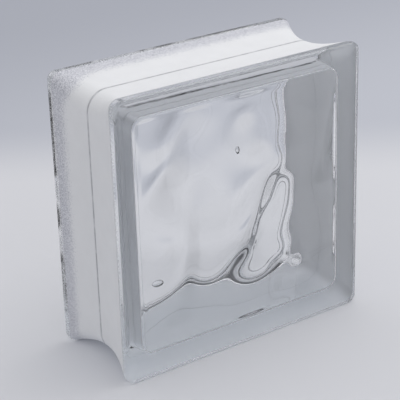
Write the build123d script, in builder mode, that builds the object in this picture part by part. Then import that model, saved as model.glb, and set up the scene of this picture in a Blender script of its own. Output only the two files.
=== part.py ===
from build123d import *
import os
from math import cos, pi, radians, sin, tan

# A hollow glass block: two pressed glass trays fused along a seam round the middle,
# with a soft wave relief on the inner face of both panes, a concave mortar channel
# round all four sides and a thin coating sprayed on that channel.
# It stands on its edge: X runs along the front face, Y from the front to the back
# and Z up. The origin is at the middle of the underside. Lengths are in millimetres.

# Outside
width = 190.0
height = 190.0
depth = 80.0
rim_land = 5.0
rim_corner = 6.0
face_round = 3.5

# Mortar channel and seam
channel_deep = 5.5
channel_corner = 14.0
channel_power = 2.2
channel_steps = 7
seam_groove = 0.8

# Glass
pane = 8.0
wall = 7.0
press_draft = 3.5
hollow_corner = 9.0
pane_round = 2.0
pane_clear = 0.5
round_steps = 3

# Wave relief: height of each of its long waves, the length, the direction and the start
wave_samples = 21
wave_fade = 8
front_waves = (
    (2.25, 126.0, 36.0, 1.5),
    (1.2, 84.0, 122.0, 4.9),
    (1.05, 63.0, 180.0, 5.3),
)
back_waves = (
    (1.4, 97.0, 71.0, 4.8),
    (1.55, 62.0, 147.0, 3.7),
)

# Coating
coat_thickness = 0.3
coat_margin = 1.5

# Places that follow from the sizes
half_depth = depth / 2
channel_reach = half_depth - rim_land
coat_reach = channel_reach - coat_margin
hollow_width = width - 2 * (channel_deep + wall)
hollow_height = height - 2 * (channel_deep + wall)
pane_inside = half_depth - pane


def upright_plane(y):
    """Plane across the block at the distance y behind its middle, facing the front."""
    return Plane(origin=(0, y, height / 2), x_dir=(1, 0, 0), z_dir=(0, -1, 0))


def block_section(y, shrink, corner):
    """Rounded cross section of the block at y, smaller by the same amount on all four sides."""
    with BuildSketch(upright_plane(y)) as section:
        RectangleRounded(width - 2 * shrink, height - 2 * shrink, corner)
    return section.sketch


def channel_sections(reach, skin):
    """Cross sections from the edge of the channel to the seam's groove, grown by a skin."""
    sections = []
    for step in range(channel_steps + 1):
        y = -seam_groove - (reach - seam_groove) * (1 - step / channel_steps)
        sunk = channel_deep * (1 - (abs(y) / channel_reach) ** channel_power)
        corner = rim_corner + (channel_corner - rim_corner) * sunk / channel_deep
        sections.append(block_section(y, sunk - skin, corner))
    sections.append(block_section(0, sunk - skin + seam_groove, corner - seam_groove))
    return sections


def hollow_sections():
    """Cross sections of the plunger that presses the hollow, from the seam into the pane."""
    start = channel_deep + wall
    slope = tan(radians(press_draft))
    round_end = pane_inside - pane_clear
    sections = [block_section(0, start, hollow_corner)]
    for step in range(round_steps + 1):
        angle = radians(90 * step / round_steps)
        y = -(round_end - pane_round * (1 - sin(angle)))
        inset = pane_round * (1 - cos(angle))
        shrink = start + slope * abs(y) + inset
        sections.append(block_section(y, shrink, hollow_corner - inset))
    sections.append(block_section(-half_depth, shrink, hollow_corner - inset))
    return sections


def relief(x, z, waves):
    """Height of the wave relief on a pane's inner face, nothing at the walls."""
    total = 0.0
    for rise, length, heading, start in waves:
        along = x * cos(radians(heading)) + z * sin(radians(heading))
        total += rise * sin(2 * pi * along / length + start)
    fade_x = 1 - min(abs(2 * x / hollow_width), 1) ** wave_fade
    fade_z = 1 - min(abs(2 * z / hollow_height), 1) ** wave_fade
    return total * fade_x * fade_z


def pane_face(waves):
    """Inner face of the front pane, as large as the hollow at the seam."""
    grid = []
    for column in range(wave_samples):
        x = hollow_width * (column / (wave_samples - 1) - 0.5)
        line = []
        for row in range(wave_samples):
            z = hollow_height * (row / (wave_samples - 1) - 0.5)
            line.append((x, relief(x, z, waves) - pane_inside, z + height / 2))
        grid.append(line)
    return Face.make_surface_from_array_of_points(grid)


def pressed_half(waves):
    """The front tray: a pane with its rim and four walls, open at the seam."""
    with BuildPart() as hollow:
        loft(sections=hollow_sections(), ruled=True)
        split(bisect_by=pane_face(waves), keep=Keep.BOTTOM)
    with BuildPart() as half:
        add(blank.part)
        add(hollow.part, mode=Mode.SUBTRACT)
    return half


# Outside of the front half as a solid, which both trays are cut from
with BuildPart() as blank:
    with BuildSketch(upright_plane(-half_depth)):
        RectangleRounded(width, height, rim_corner)
    extrude(amount=-rim_land)
    fillet(blank.faces().sort_by(Axis.Y)[0].edges(), face_round)
    loft(sections=channel_sections(channel_reach, 0), ruled=True)

# The two pressed halves; the back one is a second pressing turned to face the first
front_half = pressed_half(front_waves)
with BuildPart() as back_half:
    add(pressed_half(back_waves).part, rotation=(0, 0, 180))

# The coating: a skin on the channel of both halves, following the seam
with BuildPart() as edge_coating:
    loft(sections=channel_sections(coat_reach, coat_thickness), ruled=True)
    mirror(about=Plane.XZ)
    add(blank.part, mode=Mode.SUBTRACT)
    add(blank.part, rotation=(0, 0, 180), mode=Mode.SUBTRACT)

front_half.part.label = "front_half"
back_half.part.label = "back_half"
edge_coating.part.label = "edge_coating"

os.makedirs("parts", exist_ok=True)
export_step(front_half.part, "parts/front_half.step")
export_step(back_half.part, "parts/back_half.step")
export_step(edge_coating.part, "parts/edge_coating.step")
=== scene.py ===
from math import cos, exp, pi, radians, sin, tan

import bmesh
import bpy
from mathutils import Matrix, Vector


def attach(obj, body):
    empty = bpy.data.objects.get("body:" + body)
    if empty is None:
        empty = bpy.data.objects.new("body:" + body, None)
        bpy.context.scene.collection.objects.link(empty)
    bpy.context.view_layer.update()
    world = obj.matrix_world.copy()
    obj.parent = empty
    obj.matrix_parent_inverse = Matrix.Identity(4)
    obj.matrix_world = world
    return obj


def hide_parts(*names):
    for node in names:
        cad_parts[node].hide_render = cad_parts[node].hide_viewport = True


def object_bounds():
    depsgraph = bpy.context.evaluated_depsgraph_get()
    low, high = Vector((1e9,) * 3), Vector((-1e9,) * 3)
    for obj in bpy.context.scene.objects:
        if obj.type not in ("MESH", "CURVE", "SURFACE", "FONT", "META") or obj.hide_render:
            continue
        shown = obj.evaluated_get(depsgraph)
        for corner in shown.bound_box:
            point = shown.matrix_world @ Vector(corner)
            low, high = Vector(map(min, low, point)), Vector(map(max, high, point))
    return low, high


# A hollow glass block on a pale floor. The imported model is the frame; the glass and the
# sprayed coat are made again here with smooth faces, fine relief and their finishes.
# Lengths are in metres. X runs along the front face, Y from front to back and Z up.

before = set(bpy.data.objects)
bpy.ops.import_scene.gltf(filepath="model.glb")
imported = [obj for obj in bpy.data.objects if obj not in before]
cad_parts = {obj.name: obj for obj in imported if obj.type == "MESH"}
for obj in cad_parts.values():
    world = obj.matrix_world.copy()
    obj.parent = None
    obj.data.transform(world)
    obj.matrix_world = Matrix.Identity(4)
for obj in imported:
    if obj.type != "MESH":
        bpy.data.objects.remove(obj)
cad_box = [list(corner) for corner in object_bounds()]
scene = bpy.context.scene

# Sizes of the block, as in the part's source. Two are smaller here: the outer round of the
# rims, which fits the photo's outline better, and the reach of the seam groove.
WIDTH = cad_box[1][0] - cad_box[0][0]
DEPTH = cad_box[1][1] - cad_box[0][1]
HEIGHT = cad_box[1][2] - cad_box[0][2]
MIDDLE = HEIGHT / 2
HALF_DEPTH = DEPTH / 2
RIM_LAND = 0.005
RIM_CORNER = 0.006
FACE_ROUND = 0.0025
CHANNEL_DEEP = 0.0055
CHANNEL_CORNER = 0.014
CHANNEL_POWER = 2.2
SEAM_GROOVE = 0.0008
GROOVE_REACH = 0.0007
PANE = 0.008
WALL = 0.007
PRESS_DRAFT = 3.5
HOLLOW_CORNER = 0.009
PANE_ROUND = 0.002
PANE_CLEAR = 0.0005
CHANNEL_REACH = HALF_DEPTH - RIM_LAND
PANE_INSIDE = HALF_DEPTH - PANE
HOLLOW_WIDTH = WIDTH - 2 * (CHANNEL_DEEP + WALL)

# Wave relief of the two panes, the long waves of the part's source and then the short ones:
# height, length, direction and start of each wave
FRONT_WAVES = (
    (0.00225, 0.126, 36.0, 1.5),
    (0.00120, 0.084, 122.0, 4.9),
    (0.00105, 0.063, 180.0, 5.3),
    (0.00010, 0.051, 176.0, 4.4),
    (0.00040, 0.048, 77.0, 0.5),
    (0.00040, 0.042, 153.0, 4.9),
)
BACK_WAVES = (
    (0.00140, 0.097, 71.0, 4.8),
    (0.00155, 0.062, 147.0, 3.7),
    (0.00135, 0.053, 200.0, 0.0),
    (0.00120, 0.041, 282.0, 3.4),
    (0.00085, 0.037, 71.0, 4.4),
)

# Low swells and dips of the front pane's inner face: height, reach and place from its middle
FRONT_SWELLS = (
    (0.00067, 0.0154, 0.0140, -0.0118),
    (-0.00120, 0.0073, 0.0353, 0.0264),
    (-0.00062, 0.0094, 0.0305, -0.0176),
    (-0.00120, 0.0118, 0.0205, 0.0329),
    (-0.00059, 0.0079, 0.0401, 0.0090),
    (-0.00053, 0.0069, 0.0369, -0.0424),
    (0.00028, 0.0087, -0.0071, -0.0426),
)

# How the relief dies out: slowly towards the walls, then over a short length up to the
# round of the pane
WAVE_FADE = 8
RELIEF_END = 0.0755
RELIEF_END_LENGTH = 0.0038

# Small bubbles left in the front pane: place across and up, length, height and turn in degrees
SEEDS = (
    (-0.0047, 0.1381, 0.0032, 0.0054, 8.0),
    (-0.0688, 0.0643, 0.0088, 0.0048, -8.0),
)
SEED_THICK = 0.0022
SEED_DEPTH = 0.0035

# Coat: its thickness, how far it sinks into the glass and how far it stops short of the rims
COAT_THICKNESS = 0.0003
COAT_BOND = 0.00004
COAT_MARGIN = 0.0015

# How finely the rounded parts are stepped
CORNER_STEPS = 12
ROUND_STEPS = 7
CHANNEL_STEPS = 16
PANE_GRID = 190
SEED_SEGMENTS = 32

# Small distances of the modelling: the ring round each cap, the outline that keeps a land
# flat up to the channel, where the groove's own outlines take over, what the cutting pieces
# have to spare, and when two places count as the same
CAP_RING = 0.0004
LAND_HOLD = 0.0003
GROOVE_CLEAR = 0.0018
SLAB_SPARE = 0.004
CORE_SPARE = 0.0001
SAME_PLACE = 1e-6
SMOOTH_ANGLE = radians(35)


# ---- Modelling ----

def pick(piece):
    """Makes the piece the active object and the only selected one."""
    bpy.ops.object.select_all(action="DESELECT")
    piece.select_set(True)
    bpy.context.view_layer.objects.active = piece


def start_piece(name):
    """A named piece with nothing in it yet, open for editing."""
    bpy.ops.object.select_all(action="DESELECT")
    bpy.ops.mesh.primitive_plane_add(size=1)
    piece = bpy.context.object
    piece.name = name
    piece.data.name = name
    bpy.ops.object.mode_set(mode="EDIT")
    bpy.ops.mesh.delete(type="VERT")
    return piece


def end_piece():
    """Turns the faces of the edited piece outwards and closes it."""
    bpy.ops.mesh.select_all(action="SELECT")
    bpy.ops.mesh.normals_make_consistent(inside=False)
    bpy.ops.object.mode_set(mode="OBJECT")


def select_where(test):
    """Selects the points of the edited piece that pass the test."""
    mesh = bmesh.from_edit_mesh(bpy.context.object.data)
    bpy.ops.mesh.select_all(action="DESELECT")
    for point in mesh.verts:
        point.select = test(point.co)
    mesh.select_flush_mode()
    bmesh.update_edit_mesh(bpy.context.object.data)


def add_outline(y, shrink, corner):
    """A rounded outline across the block at y, smaller by shrink on all four sides."""
    place = (0, y, MIDDLE)
    size = (WIDTH - 2 * shrink, 1, HEIGHT - 2 * shrink)
    bpy.ops.mesh.select_all(action="DESELECT")
    bpy.ops.mesh.primitive_plane_add(size=1, location=place, rotation=(pi / 2, 0, 0))
    bpy.ops.transform.resize(value=size, center_override=place)
    bpy.ops.mesh.bevel(offset=corner, segments=CORNER_STEPS, profile=0.5,
                       affect="VERTICES", clamp_overlap=False)
    bpy.ops.mesh.delete(type="ONLY_FACE")


def skin_over(name, outlines):
    """A closed piece: outlines one behind the other, bridged in turn and capped at both ends."""
    piece = start_piece(name)
    before = None
    for y, shrink, corner in outlines:
        add_outline(y, shrink, corner)
        if before is not None:
            select_where(lambda co: min(abs(co.y - y), abs(co.y - before)) < SAME_PLACE)
            bpy.ops.mesh.bridge_edge_loops()
        before = y
    for end in (outlines[0][0], outlines[-1][0]):
        select_where(lambda co: abs(co.y - end) < SAME_PLACE)
        bpy.ops.mesh.edge_face_add()
        bpy.ops.mesh.inset(thickness=CAP_RING)
    end_piece()
    return piece


def channel_outlines(reach, skin):
    """Outlines of the mortar channel from one rim to the other, with the shallow seam groove."""
    places = [reach * (1 - step / CHANNEL_STEPS) for step in range(CHANNEL_STEPS)]
    places = [y for y in places if y > GROOVE_CLEAR]
    places += [2 * GROOVE_REACH, GROOVE_REACH, GROOVE_REACH / 2]
    outlines = []
    for y in [-y for y in places] + [0.0] + places[::-1]:
        sunk = CHANNEL_DEEP * (1 - (abs(y) / CHANNEL_REACH) ** CHANNEL_POWER)
        corner = RIM_CORNER + (CHANNEL_CORNER - RIM_CORNER) * sunk / CHANNEL_DEEP
        groove = SEAM_GROOVE * max(0.0, 1 - abs(y) / GROOVE_REACH)
        outlines.append((y, sunk - skin + groove, corner - groove))
    return outlines


def rim_outlines(side):
    """Outlines of one rim: the round from the face to the land, and the flat land."""
    outlines = []
    for step in range(ROUND_STEPS + 1):
        angle = radians(90 * step / ROUND_STEPS)
        shrink = FACE_ROUND * (1 - sin(angle))
        y = HALF_DEPTH - FACE_ROUND * (1 - cos(angle))
        outlines.append((side * y, shrink, RIM_CORNER - shrink))
    outlines.append((side * (CHANNEL_REACH + LAND_HOLD), 0.0, RIM_CORNER))
    return outlines


def hollow_outlines():
    """Outlines of the hollow, drafted from the seam and rounded where the walls meet the panes."""
    start = CHANNEL_DEEP + WALL
    slope = tan(radians(PRESS_DRAFT))
    round_end = PANE_INSIDE - PANE_CLEAR
    half = []
    for step in range(ROUND_STEPS + 1):
        angle = radians(90 * step / ROUND_STEPS)
        y = round_end - PANE_ROUND * (1 - sin(angle))
        inset = PANE_ROUND * (1 - cos(angle))
        half.append((y, start + slope * y + inset, HOLLOW_CORNER - inset))
    last = half[-1]
    half.append((HALF_DEPTH, last[1], last[2]))
    front = [(-y, shrink, corner) for y, shrink, corner in half]
    return front[::-1] + [(0.0, start, HOLLOW_CORNER)] + half


def relief(x, z, waves, swells=()):
    """Height of the wave relief on a pane's inner face, nothing at the walls."""
    total = 0.0
    for rise, length, heading, start in waves:
        along = x * cos(radians(heading)) + z * sin(radians(heading))
        total += rise * sin(2 * pi * along / length + start)
    for rise, reach, middle_x, middle_z in swells:
        apart = (x - middle_x) ** 2 + (z - middle_z) ** 2
        total += rise * exp(-apart / (2 * reach ** 2))
    for across in (abs(x), abs(z)):
        total *= 1 - min(2 * across / HOLLOW_WIDTH, 1) ** WAVE_FADE
        end = min(max((across - RELIEF_END) / RELIEF_END_LENGTH, 0), 1)
        total *= 1 - end * end * (3 - 2 * end)
    return total


def cut_piece(piece, operation, tool):
    """Cuts the piece with the tool, or keeps what they share, and removes the tool."""
    pick(piece)
    cut = piece.modifiers.new("cut", "BOOLEAN")
    cut.operation = operation
    cut.solver = "EXACT"
    cut.object = tool
    bpy.ops.object.modifier_apply(modifier=cut.name)
    bpy.data.objects.remove(tool)


def make_hollow():
    """The sealed hollow: a drafted plunger shape cut off by the two waved pane faces."""
    hollow = skin_over("hollow", hollow_outlines())
    slab = start_piece("waves")
    for y in (-PANE_INSIDE, PANE_INSIDE):
        bpy.ops.mesh.select_all(action="DESELECT")
        bpy.ops.mesh.primitive_grid_add(x_subdivisions=PANE_GRID, y_subdivisions=PANE_GRID,
                                        size=HOLLOW_WIDTH + SLAB_SPARE,
                                        location=(0, y, MIDDLE), rotation=(pi / 2, 0, 0))
    bpy.ops.mesh.select_all(action="DESELECT")
    bpy.ops.mesh.select_non_manifold(extend=False, use_boundary=True)
    bpy.ops.mesh.bridge_edge_loops()
    end_piece()
    for point in slab.data.vertices:
        x, y, z = point.co
        if y < 0:
            point.co.y += relief(x, z - MIDDLE, FRONT_WAVES, FRONT_SWELLS)
        else:
            point.co.y -= relief(-x, z - MIDDLE, BACK_WAVES)
    cut_piece(hollow, "INTERSECT", slab)
    return hollow


def add_seed(x, z, long, high, turn):
    """A small flat bubble in the middle of the front pane."""
    place = (x, SEED_DEPTH - HALF_DEPTH, z)
    bpy.ops.mesh.select_all(action="DESELECT")
    bpy.ops.mesh.primitive_uv_sphere_add(segments=SEED_SEGMENTS, ring_count=SEED_SEGMENTS // 2,
                                         radius=0.5, location=place)
    bpy.ops.transform.resize(value=(long, SEED_THICK, high), center_override=place)
    bpy.ops.transform.rotate(value=radians(turn), orient_axis="Y", center_override=place)
    bpy.ops.mesh.flip_normals()


def make_glass():
    """The fused glass of both halves: its outer skin, with the hollow turned inside out in it."""
    outlines = rim_outlines(-1) + channel_outlines(CHANNEL_REACH, 0.0) + rim_outlines(1)[::-1]
    glass = skin_over("block_glass", outlines)
    hollow = make_hollow()
    pick(hollow)
    bpy.ops.object.mode_set(mode="EDIT")
    bpy.ops.mesh.select_all(action="SELECT")
    bpy.ops.mesh.flip_normals()
    bpy.ops.object.mode_set(mode="OBJECT")
    glass.select_set(True)
    bpy.context.view_layer.objects.active = glass
    bpy.ops.object.join()
    bpy.ops.object.mode_set(mode="EDIT")
    for x, z, long, high, turn in SEEDS:
        add_seed(x, z, long, high, turn)
    bpy.ops.object.mode_set(mode="OBJECT")
    bpy.ops.object.shade_smooth_by_angle(angle=SMOOTH_ANGLE)
    return glass


def make_coat():
    """The sprayed coat: a thin closed band on the channel, its inside bonded into the glass."""
    reach = CHANNEL_REACH - COAT_MARGIN
    coat = skin_over("sprayed_coat", channel_outlines(reach, COAT_THICKNESS))
    core = skin_over("core", channel_outlines(reach + CORE_SPARE, -COAT_BOND))
    cut_piece(coat, "DIFFERENCE", core)
    pick(coat)
    bpy.ops.object.shade_smooth_by_angle(angle=SMOOTH_ANGLE)
    return coat


def mark_bonded_side(coat):
    """Gives the faces of the coat that lie on the glass their own material slot."""
    pick(coat)
    bpy.ops.object.mode_set(mode="EDIT")
    mesh = bmesh.from_edit_mesh(coat.data)
    bpy.ops.mesh.select_all(action="DESELECT")
    for face in mesh.faces:
        middle = face.calc_center_median()
        outwards = face.normal.x * middle.x + face.normal.z * (middle.z - MIDDLE)
        face.select = outwards < 0
    bmesh.update_edit_mesh(coat.data)
    coat.active_material_index = 1
    bpy.ops.object.material_slot_assign()
    bpy.ops.object.mode_set(mode="OBJECT")


# ---- Materials ----

# Glass: its tint, its index, and what shadow rays keep through the panes and the thick rims
GLASS_TINT = (0.985, 0.99, 0.995, 1)
GLASS_INDEX = 1.52
PANE_SHADE = (0.88, 0.89, 0.90, 1)
RIM_SHADE = (0.35, 0.36, 0.38, 1)

# Roughness of the clear glass, and what the streaks and the mist on the lands add to it
CLEAR_ROUGH = 0.012
STREAK_ROUGH = 0.05
MIST_ROUGH = 0.35

# Where finishes of the glass set in, counted from the middle of the block to its edge, and
# for the lands from the seam to the face
RIM_BAND = (0.0905, 0.0945)
HEAVY_BAND = (0.0925, 0.0945)
STREAK_BAND = (0.086, 0.092)
LAND_BAND = (0.0395, 0.0360)
ALONG_UPRIGHT = (1, 1, 0.04)
ALONG_LEVEL = (0.04, 1, 1)

# Coat: its two whites, the dark line along the seam groove (painted shade in the groove that also
# stands for a thinner coat there) and the thin grey spray at the back rim
COAT_WHITE_LOW = (0.725, 0.73, 0.75, 1)
COAT_WHITE_HIGH = (0.785, 0.79, 0.81, 1)
SEAM_SHADE = (0.46, 0.465, 0.49, 1)
SPRAY_GREY_LOW = (0.40, 0.405, 0.455, 1)
SPRAY_GREY_HIGH = (0.72, 0.725, 0.77, 1)
SEAM_SHADE_BAND = (0.0003, 0.0014)
SEAM_SHADE_GAPS = 0.65
SPRAY_BAND = (0.033, 0.040)
SPRAY_SCATTER = 0.022
SPRAY_CORNER = 0.008
CORNER_BAND_X = (-0.066, -0.090)
CORNER_BAND_Z = (0.165, 0.186)

# Light that soaks through the coat: its share, its colour and what lamps keep
COAT_SOAKED = (0.1, (0.88, 0.90, 0.92, 1), (0.72, 0.72, 0.725, 1))
BONDED_SOAKED = (0.58, (0.94, 0.955, 0.985, 1), (0.94, 0.945, 0.955, 1))

# The coat behind the glass, in front of the seam and behind it: a lighter, bluer copy of the
# coat's white, painted light that brightens the walls seen through the glass, with more of it
# behind the seam
BONDED_LIT_FRONT_LOW = (0.87, 0.89, 0.925, 1)
BONDED_LIT_FRONT_HIGH = (0.95, 0.965, 0.985, 1)
BONDED_LIT_BACK_LOW = (0.91, 0.925, 0.955, 1)
BONDED_LIT_BACK_HIGH = (0.96, 0.975, 0.995, 1)
BONDED_TURN = (-0.001, 0.002)


def new_material(name):
    """A material with only a surface shader and its output."""
    material = bpy.data.materials.new(name)
    material.use_nodes = True
    tree = material.node_tree
    tree.nodes.clear()
    shader = tree.nodes.new("ShaderNodeBsdfPrincipled")
    output = tree.nodes.new("ShaderNodeOutputMaterial")
    tree.links.new(shader.outputs["BSDF"], output.inputs["Surface"])
    return material, tree, shader


def place_node(tree, kind, inputs=(), **settings):
    """Adds a node with its settings, and sets or links its inputs."""
    node = tree.nodes.new(kind)
    for key, value in settings.items():
        setattr(node, key, value)
    for key, value in dict(inputs).items():
        if hasattr(value, "is_output"):
            tree.links.new(value, node.inputs[key])
        else:
            node.inputs[key].default_value = value
    return node


def calc(tree, operation, first, second=0.0, third=0.0):
    """One step of arithmetic between node outputs or numbers."""
    inputs = {0: first, 1: second, 2: third}
    return place_node(tree, "ShaderNodeMath", inputs, operation=operation).outputs[0]


def ramp_between(tree, value, low, high):
    """0 below low, 1 above high and a smooth rise between them."""
    inputs = {0: value, 1: low, 2: high}
    node = place_node(tree, "ShaderNodeMapRange", inputs, interpolation_type="SMOOTHSTEP")
    return node.outputs[0]


def object_axes(tree):
    """The object's own coordinates: the vector and its three parts."""
    place = place_node(tree, "ShaderNodeTexCoord").outputs["Object"]
    parts = place_node(tree, "ShaderNodeSeparateXYZ", {0: place})
    return place, parts.outputs[0], parts.outputs[1], parts.outputs[2]


def noise(tree, place, scale, detail, roughness, stretch=(1, 1, 1)):
    """Noise with its pattern stretched along the axes, from 0 to 1."""
    turned = place_node(tree, "ShaderNodeMapping", {"Vector": place, "Scale": stretch}).outputs[0]
    inputs = {"Vector": turned, "Scale": scale, "Detail": detail, "Roughness": roughness}
    return place_node(tree, "ShaderNodeTexNoise", inputs).outputs[0]


def mix_colour(tree, factor, first, second):
    """Blend from the first colour to the second."""
    inputs = {0: factor, 6: first, 7: second}
    return place_node(tree, "ShaderNodeMix", inputs, data_type="RGBA").outputs[2]


def mix_shaders(tree, factor, first, second):
    """Blend from the first surface to the second."""
    inputs = {0: factor, 1: first.outputs[0], 2: second.outputs[0]}
    return place_node(tree, "ShaderNodeMixShader", inputs)


def let_lamps_through(tree, surface, colour):
    """Clear for shadow rays only, so that lamps light what is behind and inside the surface."""
    rays = place_node(tree, "ShaderNodeLightPath")
    clear = place_node(tree, "ShaderNodeBsdfTransparent", {"Color": colour})
    output = next(node for node in tree.nodes if node.type == "OUTPUT_MATERIAL")
    mix = mix_shaders(tree, rays.outputs["Is Shadow Ray"], surface, clear)
    tree.links.new(mix.outputs[0], output.inputs["Surface"])


def let_light_in(tree, shader, share, colour, clear):
    """Mixes in the light that soaks through the thin coat, which lamps also shine through."""
    soaked = place_node(tree, "ShaderNodeBsdfTranslucent", {"Color": colour})
    let_lamps_through(tree, mix_shaders(tree, share, shader, soaked), clear)


def add_bump(tree, shader, strength, distance, height):
    """Gives the surface a fine relief from the height."""
    inputs = {"Strength": strength, "Distance": distance, "Height": height}
    bump = place_node(tree, "ShaderNodeBump", inputs)
    tree.links.new(bump.outputs[0], shader.inputs["Normal"])


def glass_material():
    """Clear pressed glass, with drawn streaks and a dull bloom on the rims."""
    material, tree, shader = new_material("pressed_glass")
    place, x, y, z = object_axes(tree)
    side = calc(tree, "ABSOLUTE", x)
    rise = calc(tree, "ABSOLUTE", calc(tree, "SUBTRACT", z, MIDDLE))
    upright = calc(tree, "GREATER_THAN", side, rise)
    edge = calc(tree, "MAXIMUM", side, rise)
    rim = ramp_between(tree, edge, *RIM_BAND)
    up_streaks = noise(tree, place, 900, 4, 0.6, ALONG_UPRIGHT)
    cross_streaks = noise(tree, place, 900, 4, 0.6, ALONG_LEVEL)
    inputs = {0: upright, 2: cross_streaks, 3: up_streaks}
    streaks = place_node(tree, "ShaderNodeMix", inputs).outputs[0]
    dull = calc(tree, "MULTIPLY", rim, ramp_between(tree, streaks, 0.35, 0.75))
    land = ramp_between(tree, calc(tree, "ABSOLUTE", y), *LAND_BAND)
    specks = ramp_between(tree, noise(tree, place, 1100, 3, 0.7), 0.42, 0.58)
    mist = calc(tree, "MULTIPLY", calc(tree, "MULTIPLY", land, rim), specks)
    rough = calc(tree, "MULTIPLY_ADD", dull, STREAK_ROUGH, CLEAR_ROUGH)
    rough = calc(tree, "MULTIPLY_ADD", mist, MIST_ROUGH, rough)
    tree.links.new(rough, shader.inputs["Roughness"])
    shader.inputs["Base Color"].default_value = GLASS_TINT
    shader.inputs["Transmission Weight"].default_value = 1.0
    shader.inputs["IOR"].default_value = GLASS_INDEX
    height = calc(tree, "MULTIPLY", streaks, ramp_between(tree, edge, *STREAK_BAND))
    add_bump(tree, shader, 0.16, 0.0003, height)
    heavy = ramp_between(tree, edge, *HEAVY_BAND)
    let_lamps_through(tree, shader, mix_colour(tree, heavy, PANE_SHADE, RIM_SHADE))
    return material


def coat_material():
    """Matt white sprayed coat with a fine stipple, thinner and greyer towards the back rim."""
    material, tree, shader = new_material("sprayed_coat")
    place, x, y, z = object_axes(tree)
    grain = noise(tree, place, 1400, 2, 0.6)
    blotch = noise(tree, place, 90, 3, 0.5)
    spray = noise(tree, place, 900, 4, 0.75)
    corner = calc(tree, "MULTIPLY", ramp_between(tree, x, *CORNER_BAND_X),
                  ramp_between(tree, z, *CORNER_BAND_Z))
    depth = calc(tree, "ADD", calc(tree, "MULTIPLY_ADD", spray, SPRAY_SCATTER, y),
                 calc(tree, "MULTIPLY", corner, SPRAY_CORNER))
    thin = ramp_between(tree, depth, *SPRAY_BAND)
    white = mix_colour(tree, blotch, COAT_WHITE_LOW, COAT_WHITE_HIGH)
    # Painted shade along the seam groove, partly a thinner coat there, broken into gaps by noise
    line = ramp_between(tree, calc(tree, "ABSOLUTE", y), *SEAM_SHADE_BAND)
    shade_gaps = ramp_between(tree, noise(tree, place, 160, 3, 0.6), 0.30, 0.70)
    line = calc(tree, "MAXIMUM", line, calc(tree, "MULTIPLY", shade_gaps, SEAM_SHADE_GAPS))
    white = mix_colour(tree, line, SEAM_SHADE, white)
    stipple = ramp_between(tree, grain, 0.35, 0.65)
    grey = mix_colour(tree, stipple, SPRAY_GREY_LOW, SPRAY_GREY_HIGH)
    tree.links.new(mix_colour(tree, thin, white, grey), shader.inputs["Base Color"])
    tree.links.new(calc(tree, "MULTIPLY_ADD", grain, 0.15, 0.75), shader.inputs["Roughness"])
    shader.inputs["Specular IOR Level"].default_value = 0.3
    add_bump(tree, shader, 0.8, 0.0002, grain)
    let_light_in(tree, shader, *COAT_SOAKED)
    return material


def bonded_material():
    """The coat as seen through the glass, a lighter copy of the coat with painted light: faintly
    streaked, and with more painted light behind the seam.
    """
    material, tree, shader = new_material("coat_behind_glass")
    place, _, y, _ = object_axes(tree)
    streaks = noise(tree, place, 60, 4, 0.6, (1, 4, 1))
    behind = ramp_between(tree, y, *BONDED_TURN)
    # Painted light: these whites are lighter than the outer coat's, and lighter still behind the
    # seam
    front = mix_colour(tree, streaks, BONDED_LIT_FRONT_LOW, BONDED_LIT_FRONT_HIGH)
    back = mix_colour(tree, streaks, BONDED_LIT_BACK_LOW, BONDED_LIT_BACK_HIGH)
    tree.links.new(mix_colour(tree, behind, front, back), shader.inputs["Base Color"])
    shader.inputs["Roughness"].default_value = 0.8
    let_light_in(tree, shader, *BONDED_SOAKED)
    return material


# ---- The block ----

glass = make_glass()
glass.data.materials.clear()
glass.data.materials.append(glass_material())
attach(glass, "root")
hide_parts("front_half", "back_half")

coat = make_coat()
coat.data.materials.clear()
coat.data.materials.append(coat_material())
coat.data.materials.append(bonded_material())
mark_bonded_side(coat)
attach(coat, "root")
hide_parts("edge_coating")


# ---- Camera ----

# Where it stands, how it is turned, tilted and rolled in degrees, and its lens
VIEW_PLACE = (-0.4923, -0.6990, 0.4570)
VIEW_TURN = -34.699
VIEW_TILT = 66.77
VIEW_ROLL = -1.793
VIEW_LENS = 125.8
VIEW_REACH = 50

camera_data = bpy.data.cameras.new("camera")
camera_data.sensor_width = 36
camera_data.lens = VIEW_LENS
camera_data.clip_end = VIEW_REACH
camera = bpy.data.objects.new("camera", camera_data)
scene.collection.objects.link(camera)
camera.matrix_world = (Matrix.Translation(VIEW_PLACE)
                       @ Matrix.Rotation(radians(VIEW_TURN), 4, "Z")
                       @ Matrix.Rotation(radians(VIEW_TILT), 4, "X")
                       @ Matrix.Rotation(radians(VIEW_ROLL), 4, "Z"))
scene.camera = camera


# ---- Stage ----

# Floor: pale round the block, then a backdrop that gets darker to the upper left, where the
# darkening is painted shade
FLOOR_SIZE = 12
FLOOR_NEAR = (0.59, 0.595, 0.628, 1)
DROP_LIGHT = (0.46, 0.474, 0.525, 1)
DROP_SHADED = (0.372, 0.386, 0.436, 1)
DROP_START = (0.25, 0.40)
DROP_SHADE_SPAN = (0.30, 0.90)
DROP_SLANT = -0.6

# Soft lamp: its place, size, power and aim
LAMP_PLACE = (0.80, -0.10, 2.0)
LAMP_SIZE = 2.0
LAMP_POWER = 22
LAMP_AIM = (0, 0, 0.09)

# Sky: as it is seen, and as it lights matt surfaces
SKY_SEEN = (0.50, 0.51, 0.55, 1)
SKY_LIGHT = (0.75, 0.75, 0.755, 1)


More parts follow.
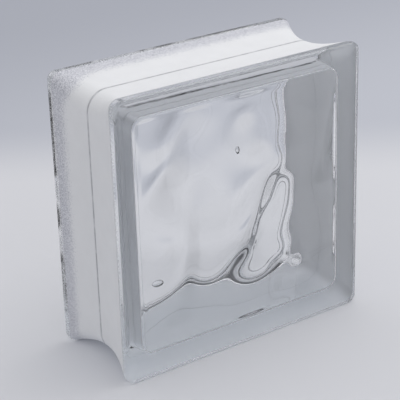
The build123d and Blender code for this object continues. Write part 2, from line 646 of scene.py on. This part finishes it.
def along_view(tree, x, y, angle):
    """How far a point of the floor lies in the direction at that angle from the X axis."""
    along_x = calc(tree, "MULTIPLY", x, cos(radians(angle)))
    along_y = calc(tree, "MULTIPLY", y, sin(radians(angle)))
    return calc(tree, "ADD", along_x, along_y)


def floor_material():
    """Pale floor that turns blue grey behind the block, as the photo's backdrop does, with painted
    shade that darkens it to the upper left.
    """
    material, tree, shader = new_material("stage_floor")
    _, x, y, _ = object_axes(tree)
    away = along_view(tree, x, y, VIEW_TURN + 90)
    aside = along_view(tree, x, y, VIEW_TURN)
    far = ramp_between(tree, away, *DROP_START)
    # Painted shade: the backdrop darkens towards the upper left
    drop_shade = ramp_between(tree, calc(tree, "MULTIPLY_ADD", aside, DROP_SLANT, away), *DROP_SHADE_SPAN)
    drop = mix_colour(tree, drop_shade, DROP_LIGHT, DROP_SHADED)
    tree.links.new(mix_colour(tree, far, FLOOR_NEAR, drop), shader.inputs["Base Color"])
    shader.inputs["Roughness"].default_value = 0.9
    shader.inputs["Specular IOR Level"].default_value = 0.1
    return material


bpy.ops.object.select_all(action="DESELECT")
bpy.ops.mesh.primitive_plane_add(size=FLOOR_SIZE)
floor = bpy.context.object
floor.name = "stage_floor"
floor.data.materials.append(floor_material())

lamp_data = bpy.data.lights.new("soft_top", "AREA")
lamp_data.size = LAMP_SIZE
lamp_data.energy = LAMP_POWER
lamp = bpy.data.objects.new("soft_top", lamp_data)
scene.collection.objects.link(lamp)
lamp.location = LAMP_PLACE
lamp.rotation_euler = (Vector(LAMP_AIM) - lamp.location).to_track_quat("-Z", "Y").to_euler()

world = bpy.data.worlds.new("studio")
scene.world = world
world.use_nodes = True
tree = world.node_tree
tree.nodes.clear()
rays = place_node(tree, "ShaderNodeLightPath")
lit = calc(tree, "GREATER_THAN", rays.outputs["Diffuse Depth"], 0.5)
sky = mix_colour(tree, lit, SKY_SEEN, SKY_LIGHT)
background = place_node(tree, "ShaderNodeBackground", {"Color": sky, "Strength": 1.0})
place_node(tree, "ShaderNodeOutputWorld", {"Surface": background.outputs[0]})

scene.view_settings.view_transform = "Standard"
